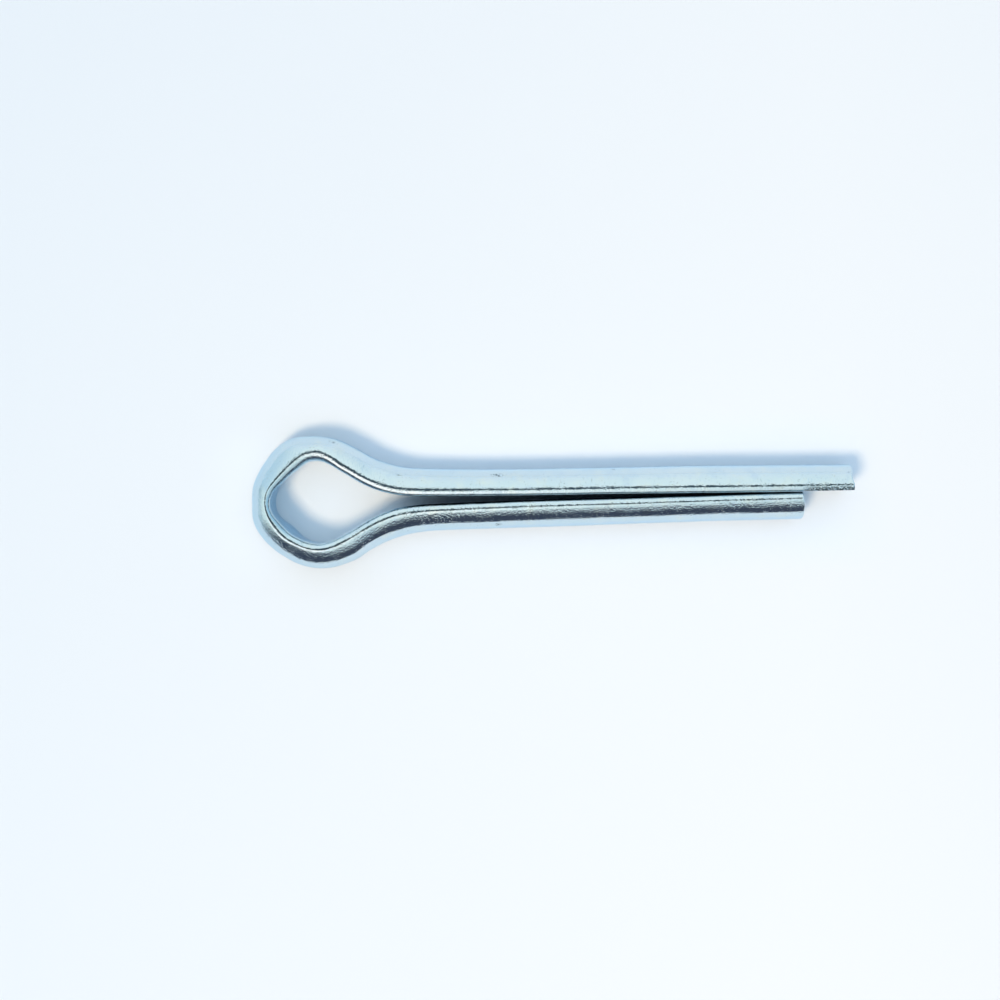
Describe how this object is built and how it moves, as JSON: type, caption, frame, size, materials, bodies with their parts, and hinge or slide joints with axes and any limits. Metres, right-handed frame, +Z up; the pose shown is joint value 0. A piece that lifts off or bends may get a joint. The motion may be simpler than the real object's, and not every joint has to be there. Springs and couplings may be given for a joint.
{
  "type": "cotter pin",
  "caption": "Cotter pin bent from half-round steel wire, with an open eye and straight prongs of unequal length that are cut off square.",
  "frame": {"origin": "centre of the bounding box at its bottom, on the surface that the pin lies on", "axes": "+X along the shank towards the prongs' cut ends, +Y from the short prong to the long prong, +Z up from the surface that the pin lies on"},
  "size_m": [0.049, 0.0108, 0.0044],
  "materials": {
    "zinc_plated_steel": "bright zinc plate, with fine drawing lines and small scuffs"
  },
  "bodies": {
    "root": {"cotter_pin": "zinc_plated_steel"}
  },
  "joints": []
}
